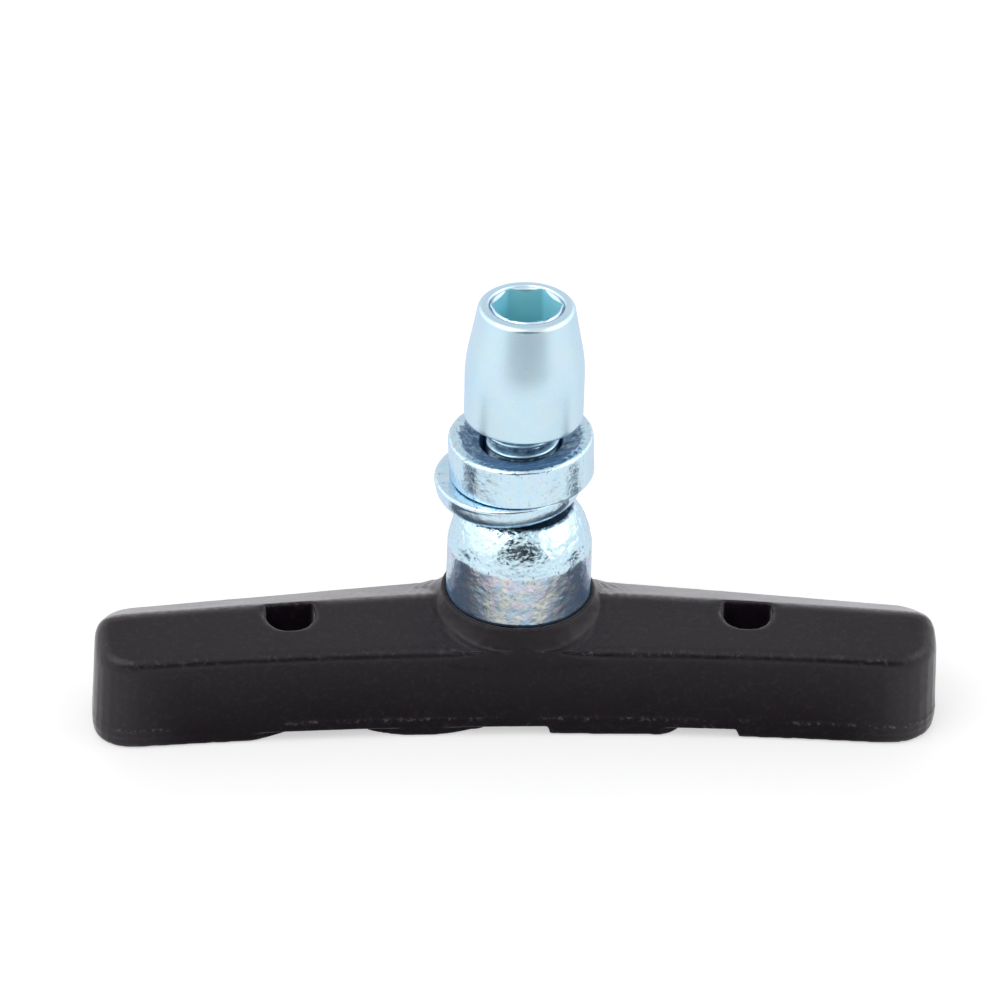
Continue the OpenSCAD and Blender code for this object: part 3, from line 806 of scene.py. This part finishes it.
def add_floor():
    """White floor: it takes the object's shadow, and is seen as white by the camera and in the metal. Close in
    front of the block, and only in reflections, it is dimmed: a painted shadow of the block.
    """
    half = 2.0
    mesh = bpy.data.meshes.new("floor")
    mesh.from_pydata([(-half, -half, 0), (half, -half, 0), (half, half, 0), (-half, half, 0)], [],
                     [(0, 1, 2, 3)])
    floor = bpy.data.objects.new("floor", mesh)
    bpy.context.scene.collection.objects.link(floor)
    s = Shader("floor_white")
    path = s.add("ShaderNodeLightPath").outputs
    ahead = s.math("MULTIPLY", s.add("ShaderNodeSeparateXYZ", {0: s.place}).outputs["Y"], -1.0)
    # Painted shadow: in reflections the floor is dimmed close in front of the block, no wider than the block.
    close = s.remap(ahead, FLOOR_NEAR, FLOOR_NEAR + 0.022, FLOOR_NEAR_GLOW, 1.0)
    along = s.math("ABSOLUTE", s.add("ShaderNodeSeparateXYZ", {0: s.place}).outputs["X"])
    beside = s.math("MULTIPLY", s.remap(ahead, -0.002, 0.004), s.remap(along, 0.026, 0.034, 1.0, 0.0))
    close = s.math("ADD", s.math("MULTIPLY", close, beside), s.math("SUBTRACT", 1.0, beside))
    rear = s.remap(ahead, -0.030, -0.012, 1 + BACK_GLOW / FLOOR_GLOW, 1.0)
    mirrored = s.math("MULTIPLY", s.math("MAXIMUM", path["Is Glossy Ray"], path["Is Transmission Ray"]),
                      s.math("MULTIPLY", close, rear))
    seen = s.math("MAXIMUM", path["Is Camera Ray"], mirrored)
    # Painted shadow: the floor's own light is also dimmed in reflections close in front of the block.
    dimmed = s.math("MULTIPLY", path["Is Glossy Ray"], s.math("SUBTRACT", 1.0, close))
    diffuse = s.add("ShaderNodeBsdfDiffuse", {"Color": s.mix(dimmed, grey(FLOOR_ALBEDO), grey(0.0))})
    glow = s.add("ShaderNodeEmission", {"Color": grey(1.0), "Strength": s.math("MULTIPLY", seen, FLOOR_GLOW)})
    both = s.add("ShaderNodeAddShader", {0: diffuse.outputs[0], 1: glow.outputs[0]})
    away = s.remap(ahead, FLOOR_FRONT, FLOOR_FRONT + 0.10)
    ended = s.math("MULTIPLY", away, path["Is Glossy Ray"])
    open_end = s.add("ShaderNodeBsdfTransparent")
    choice = s.add("ShaderNodeMixShader", {0: ended, 1: both.outputs[0], 2: open_end.outputs[0]})
    s.tree.links.new(choice.outputs[0], s.output.inputs["Surface"])
    mesh.materials.append(s.material)


FLOOR_ALBEDO = 0.62
FLOOR_GLOW = 0.52
FLOOR_FRONT = 0.09
# Painted shadow in reflections: the floor close in front of the block is mirrored dimmed, down to FLOOR_NEAR_GLOW.
FLOOR_NEAR = 0.0085
FLOOR_NEAR_GLOW = 0.20
WORLD_DIFFUSE = 0.58
WORLD_MIRRORED = 0.95
BACK_GLOW = -0.06
SIDE_GLOW = 0.5


def add_world():
    world = bpy.data.worlds.new("studio")
    bpy.context.scene.world = world
    world.use_nodes = True
    s = Shader.__new__(Shader)
    s.tree = world.node_tree
    s.tree.nodes.clear()
    path = s.add("ShaderNodeLightPath").outputs
    direction = s.add("ShaderNodeTexCoord").outputs["Generated"]
    dark = s.math("MULTIPLY", dark_front(s, direction), 0.98)
    parts = s.add("ShaderNodeSeparateXYZ", {0: direction}).outputs
    behind = s.remap(parts["Y"], 0.1, 0.5)
    low = s.math("MULTIPLY", behind, s.remap(parts["Z"], 0.22, 0.42, 1.0, 0.0))
    high = s.math("MULTIPLY", behind, s.remap(parts["Z"], 0.42, 0.55))
    tent = s.math("SUBTRACT", s.math("ADD", WORLD_MIRRORED, s.math("MULTIPLY", low, BACK_GLOW)),
                  s.math("MULTIPLY", high, 0.14))
    aside = s.math("MULTIPLY", s.remap(s.math("ABSOLUTE", parts["X"]), 0.35, 0.7), s.remap(parts["Z"], -0.05, 0.10))
    tent = s.math("ADD", tent, s.math("MULTIPLY", aside, SIDE_GLOW))
    mirrored = s.math("MULTIPLY", s.math("SUBTRACT", 1.0, dark), tent)
    plain = s.math("MAXIMUM", path["Is Camera Ray"], WORLD_DIFFUSE)
    level = s.math("ADD", s.math("MULTIPLY", path["Is Glossy Ray"], mirrored),
                   s.math("MULTIPLY", s.math("SUBTRACT", 1.0, path["Is Glossy Ray"]), plain))
    background = s.add("ShaderNodeBackground", {"Color": grey(1.0), "Strength": level})
    output = s.add("ShaderNodeOutputWorld")
    s.tree.links.new(background.outputs[0], output.inputs["Surface"])


add_camera()
add_floor()
add_world()
add_area("key", (-0.30, -0.20, 0.45), (0.45, 0.45), 1.5)
add_area("fill", (0.45, -0.10, 0.30), (0.35, 0.35), 1.0)
add_area("back", (0.0, 0.45, 0.35), (0.60, 0.25), 1.1, mirrored=False)

bpy.context.scene.view_settings.view_transform = "Standard"
